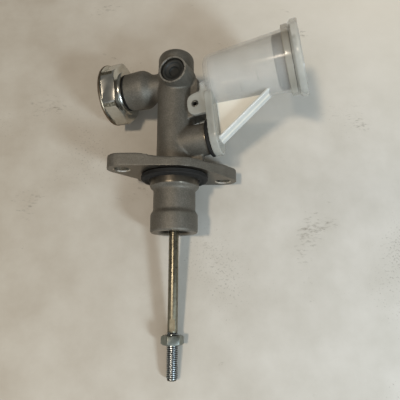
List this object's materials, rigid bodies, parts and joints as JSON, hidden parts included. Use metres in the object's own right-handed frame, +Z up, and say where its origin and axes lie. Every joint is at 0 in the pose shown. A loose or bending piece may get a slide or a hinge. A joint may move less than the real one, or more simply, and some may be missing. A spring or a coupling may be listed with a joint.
{
  "type": "hydraulic master cylinder",
  "caption": "Lying hydraulic master cylinder with a two-ear flange, side pulse damper, pinned translucent reservoir and a threaded push rod.",
  "frame": {"origin": "middle of the bounding box's base, on the surface that the cylinder lies on", "axes": "+Z up from that surface, +Y along the bore towards its closed end, seen from above, +X towards the reservoir"},
  "size_m": [0.1626, 0.2448, 0.0946],
  "materials": {
    "body_casting": "fine sand-cast skin, grey with a warm cast; machined faces bright",
    "flange_seal": "moulded black rubber, satin",
    "reservoir_grommet": "moulded black rubber",
    "outlet_seat": "turned brass",
    "port_plug": "charcoal moulded plastic",
    "damper_gasket": "flat black gasket",
    "damper_housing": "bright zinc plate, polished enough to mirror",
    "damper_diaphragm": "thin black rubber",
    "damper_cover": "bright zinc plate",
    "piston": "anodised aluminium",
    "primary_cup": "black rubber",
    "secondary_cup": "black rubber",
    "cup_shim": "thin steel",
    "spring_seat": "pressed steel",
    "return_spring": "spring steel wire",
    "push_rod": "bright zinc plate with a rolled thread",
    "lock_nut": "zinc plate, duller than the rod",
    "stop_washer": "pressed steel",
    "snap_ring": "phosphated spring steel",
    "roll_pin": "dark oiled spring steel",
    "reservoir_body": "milky translucent polypropylene",
    "reservoir_cap": "milky polypropylene, more opaque",
    "cap_bellows": "grey rubber"
  },
  "bodies": {
    "cylinder": {"body_casting": "body_casting", "flange_seal": "flange_seal", "reservoir_grommet": "reservoir_grommet", "outlet_seat": "outlet_seat", "damper_gasket": "damper_gasket", "damper_housing": "damper_housing", "damper_diaphragm": "damper_diaphragm", "damper_cover": "damper_cover", "return_spring": "return_spring", "stop_washer": "stop_washer", "snap_ring": "snap_ring", "roll_pin": "roll_pin", "reservoir_body": "reservoir_body"},
    "piston_group": {"piston": "piston", "primary_cup": "primary_cup", "secondary_cup": "secondary_cup", "cup_shim": "cup_shim", "spring_seat": "spring_seat"},
    "push_rod": {"push_rod": "push_rod"},
    "lock_nut": {"lock_nut": "lock_nut"},
    "cap": {"reservoir_cap": "reservoir_cap", "cap_bellows": "cap_bellows"},
    "plug": {"port_plug": "port_plug"}
  },
  "joints": [
    {"name": "piston_slide", "type": "slide", "parent": "cylinder", "child": "piston_group", "axis": [0, 0.9864, 0.1642], "range_m": [0, 0.032], "stiffness_N_per_m": 1500, "springref_m": -0.015, "deforming": ["return_spring"]},
    {"name": "push_rod_swing", "type": "hinge", "parent": "piston_group", "child": "push_rod", "pos_m": [-0.02062, -0.00362, 0.02368], "axis": [0, -0.1642, 0.9864], "range_deg": [-2, 2]},
    {"name": "lock_nut_turn", "type": "hinge", "parent": "push_rod", "child": "lock_nut", "pos_m": [-0.02062, -0.09595, 0.00831], "axis": [0, 0.9864, 0.1642], "continuous": true},
    {"name": "cap_lift", "type": "slide", "parent": "cylinder", "child": "cap", "axis": [0.9523, 0.056, 0.3], "range_m": [0, 0.03]},
    {"name": "plug_pull", "type": "slide", "parent": "cylinder", "child": "plug", "axis": [-0.2884, -0.1572, 0.9445], "range_m": [0, 0.015]}
  ]
}
